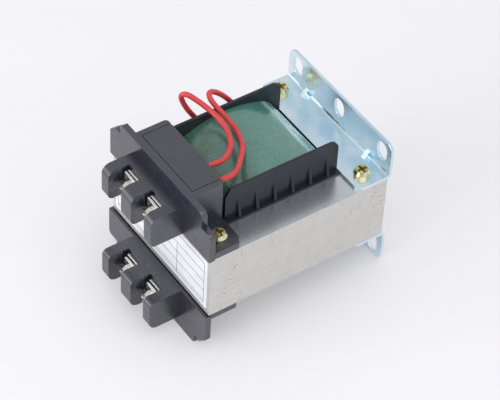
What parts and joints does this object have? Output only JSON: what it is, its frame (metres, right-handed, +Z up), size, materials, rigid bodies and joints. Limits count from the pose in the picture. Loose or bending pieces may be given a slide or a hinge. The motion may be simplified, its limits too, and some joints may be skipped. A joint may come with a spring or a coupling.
{
  "type": "control transformer",
  "caption": "Panel-mount control transformer: EI core with a vertical stack, green taped coil, slotted brackets at the rear and moulded screw terminal blocks at the front, above and below.",
  "frame": {"origin": "centre of the mounting face, on the rear of the two brackets, halfway between their outer edges", "axes": "+Y points into the panel, so the terminals are at -Y; +Z is up, along the lamination stack; +X runs along the coil's axis, to the right as seen from the terminals"},
  "size_m": [0.0568, 0.0803, 0.063],
  "materials": {
    "lamination_steel": "fine lamination lines, lightly oiled",
    "zinc_steel": "bright bluish zinc",
    "yellow_zinc": "yellow zinc",
    "black_plastic": "semi-gloss moulding",
    "bobbin_plastic": "semi-gloss moulding",
    "green_tape": "glossy tape",
    "copper_winding": "enamelled copper wire",
    "insulation_film": "film",
    "nickel_plate": "bright nickel",
    "label_film": "bare label with ruled lines",
    "lead_red": "glossy insulation"
  },
  "bodies": {
    "root": {"e_laminations": "lamination_steel", "i_laminations": "lamination_steel", "bobbin": "bobbin_plastic", "primary_winding": "copper_winding", "winding_insulation": "insulation_film", "secondary_winding": "copper_winding", "outer_wrap": "green_tape", "upper_bracket": "zinc_steel", "lower_bracket": "zinc_steel", "upper_terminal_block": "black_plastic", "lower_terminal_block": "black_plastic", "upper_cover": "black_plastic", "lower_cover": "black_plastic", "core_screw_front_left": "yellow_zinc", "core_screw_front_right": "yellow_zinc", "core_screw_rear_left": "yellow_zinc", "core_screw_rear_right": "yellow_zinc", "washer_front_left": "zinc_steel", "washer_front_right": "zinc_steel", "washer_rear_left": "zinc_steel", "washer_rear_right": "zinc_steel", "nut_front_left": "zinc_steel", "nut_front_right": "zinc_steel", "nut_rear_left": "zinc_steel", "nut_rear_right": "zinc_steel", "upper_left_terminal": "nickel_plate", "upper_right_terminal": "nickel_plate", "lower_left_terminal": "nickel_plate", "lower_right_terminal": "nickel_plate", "upper_left_clamp": "nickel_plate", "upper_right_clamp": "nickel_plate", "lower_left_clamp": "nickel_plate", "lower_right_clamp": "nickel_plate", "upper_left_terminal_screw": "nickel_plate", "upper_right_terminal_screw": "nickel_plate", "lower_left_terminal_screw": "nickel_plate", "lower_right_terminal_screw": "nickel_plate", "rating_label": "label_film", "left_lead": "lead_red", "right_lead": "lead_red"}
  },
  "joints": []
}
